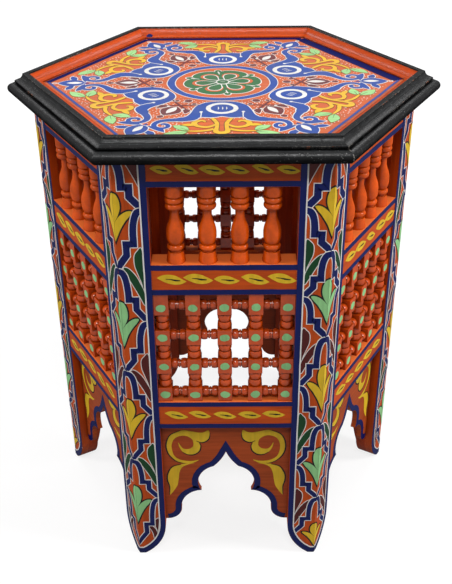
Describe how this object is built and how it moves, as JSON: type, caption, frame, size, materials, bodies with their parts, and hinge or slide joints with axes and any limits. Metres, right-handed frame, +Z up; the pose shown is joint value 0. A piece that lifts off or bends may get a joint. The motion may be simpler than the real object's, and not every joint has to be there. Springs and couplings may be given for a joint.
{
  "type": "side table",
  "caption": "Hexagonal painted wooden side table with a rimmed panel top, folded corner legs, baluster gallery, turned lattice sides and cusped arched aprons.",
  "frame": {"origin": "on the floor, under the middle of the top", "axes": "+Z up through the middle of the top, -Y out of the front side, +X through a corner leg"},
  "size_m": [0.4572, 0.396, 0.52],
  "materials": {
    "orange_paint": "satin paint",
    "top_paint": "satin paint",
    "black_paint": "worn satin paint",
    "bare_wood": "unpainted",
    "steel": "bright",
    "navy_paint": "satin paint",
    "white_paint": "satin paint",
    "yellow_paint": "satin paint",
    "light_green_paint": "satin paint",
    "dark_green_paint": "satin paint",
    "maroon_paint": "satin paint"
  },
  "bodies": {
    "root": {"top_panel": "top_paint", "top_edge_frame": "black_paint", "top_rim": "black_paint", "leg_posts": "orange_paint", "corner_blocks": "bare_wood", "top_screws": "steel", "apron_nails": "steel", "front_top_rail": "orange_paint", "front_middle_rail": "orange_paint", "front_lower_rail": "orange_paint", "front_leg_board_left": "orange_paint", "front_leg_board_right": "orange_paint", "front_balusters": "orange_paint", "front_lattice": "orange_paint", "front_apron": "orange_paint", "front_right_top_rail": "orange_paint", "front_right_middle_rail": "orange_paint", "front_right_lower_rail": "orange_paint", "front_right_leg_board_left": "orange_paint", "front_right_leg_board_right": "orange_paint", "front_right_balusters": "orange_paint", "front_right_lattice": "orange_paint", "front_right_apron": "orange_paint", "back_right_top_rail": "orange_paint", "back_right_middle_rail": "orange_paint", "back_right_lower_rail": "orange_paint", "back_right_leg_board_left": "orange_paint", "back_right_leg_board_right": "orange_paint", "back_right_balusters": "orange_paint", "back_right_lattice": "orange_paint", "back_right_apron": "orange_paint", "back_top_rail": "orange_paint", "back_middle_rail": "orange_paint", "back_lower_rail": "orange_paint", "back_leg_board_left": "orange_paint", "back_leg_board_right": "orange_paint", "back_balusters": "orange_paint", "back_lattice": "orange_paint", "back_apron": "orange_paint", "back_left_top_rail": "orange_paint", "back_left_middle_rail": "orange_paint", "back_left_lower_rail": "orange_paint", "back_left_leg_board_left": "orange_paint", "back_left_leg_board_right": "orange_paint", "back_left_balusters": "orange_paint", "back_left_lattice": "orange_paint", "back_left_apron": "orange_paint", "front_left_top_rail": "orange_paint", "front_left_middle_rail": "orange_paint", "front_left_lower_rail": "orange_paint", "front_left_leg_board_left": "orange_paint", "front_left_leg_board_right": "orange_paint", "front_left_balusters": "orange_paint", "front_left_lattice": "orange_paint", "front_left_apron": "orange_paint"}
  },
  "joints": []
}
